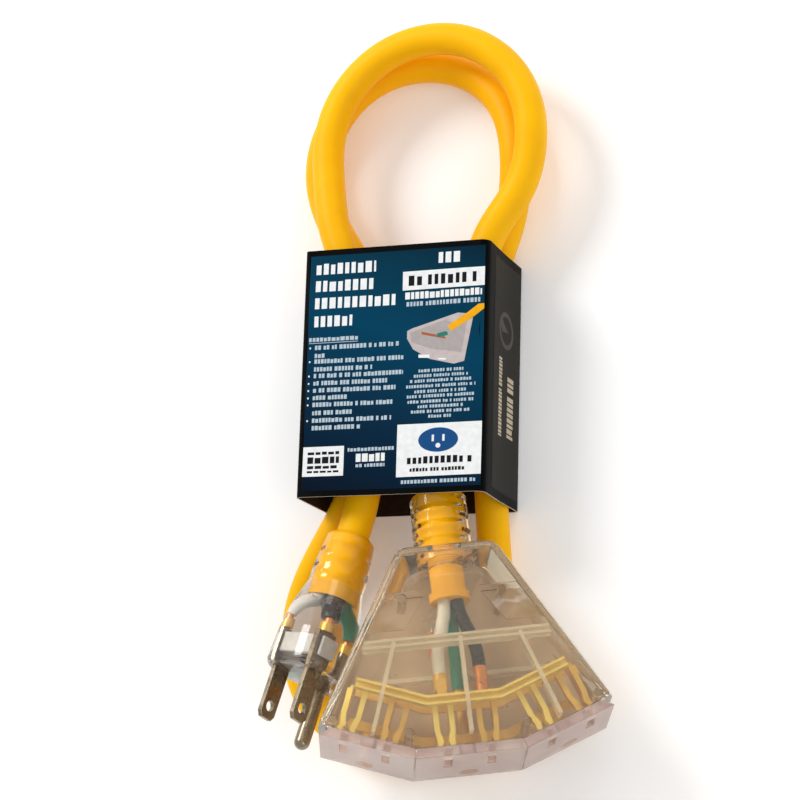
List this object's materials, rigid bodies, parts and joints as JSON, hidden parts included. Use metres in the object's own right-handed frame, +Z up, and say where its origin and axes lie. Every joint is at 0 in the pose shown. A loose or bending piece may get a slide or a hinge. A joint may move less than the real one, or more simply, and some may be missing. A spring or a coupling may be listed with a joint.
{
  "type": "extension cord",
  "caption": "Short heavy-duty extension cord with a fan-shaped clear multi-outlet connector and a clear grounded plug, folded into a hank and held by a printed card sleeve.",
  "frame": {"origin": "middle of the sleeve's back panel, on the surface the bundle lies on", "axes": "+Z up, out of the sleeve's printed front panel; +Y along the cords towards the two end loops; the connector and the plug point along -Y; +X to the right seen from the front panel"},
  "size_m": [0.1107, 0.2429, 0.0552],
  "materials": {
    "jacket_yellow": "satin soft vinyl",
    "printed_board": "printed and coated folding board",
    "clear_shell": "clear moulded plastic with a slight warm tint",
    "clear_relief": "clear soft moulded plastic",
    "clear_inner": "clear moulded plastic",
    "outlet_plate": "tinted clear moulded plastic",
    "brass_bar": "bright stamped brass",
    "copper": "bright copper",
    "wire_black": "insulation",
    "wire_white": "insulation",
    "wire_green": "insulation",
    "lamp_glass": "clear glow lamp",
    "resistor_body": "painted ceramic",
    "tinned_wire": "bright tinned wire",
    "insert_white": "moulded insert",
    "nickel": "nickel plated, satin"
  },
  "bodies": {
    "cord_set": {"cord_jacket": "jacket_yellow", "connector_front_shell": "clear_shell", "connector_rear_shell": "clear_shell", "connector_strain_relief": "clear_relief", "connector_cord_end": "jacket_yellow", "connector_carrier_front": "clear_inner", "connector_carrier_rear": "clear_inner", "outlet_face_left": "outlet_plate", "outlet_face_center": "outlet_plate", "outlet_face_right": "outlet_plate", "neutral_bus_bar": "brass_bar", "live_bus_bar": "brass_bar", "ground_bus_bar": "brass_bar", "connector_live_wire": "wire_black", "connector_neutral_wire": "wire_white", "connector_ground_wire": "wire_green", "connector_live_crimp": "copper", "connector_neutral_crimp": "brass_bar", "connector_ground_crimp": "brass_bar", "connector_assembly_pins": "clear_inner", "indicator_lamp": "lamp_glass", "lamp_resistor": "resistor_body", "lamp_leads": "tinned_wire", "plug_body": "clear_shell", "plug_strain_relief": "clear_relief", "plug_cord_end": "jacket_yellow", "plug_blade_bridge": "insert_white", "plug_live_blade": "nickel", "plug_neutral_blade": "nickel", "plug_ground_pin": "nickel", "plug_live_wire": "wire_black", "plug_neutral_wire": "wire_white", "plug_ground_wire": "wire_green", "plug_live_crimp": "brass_bar", "plug_neutral_crimp": "brass_bar", "plug_ground_crimp": "brass_bar", "plug_bare_copper": "copper"},
    "carton": {"carton_sleeve": "printed_board"}
  },
  "joints": [
    {"name": "sleeve_slide", "type": "slide", "parent": "cord_set", "child": "carton", "axis": [0, 1, 0], "range_m": [-0.0025, 0.002]}
  ]
}
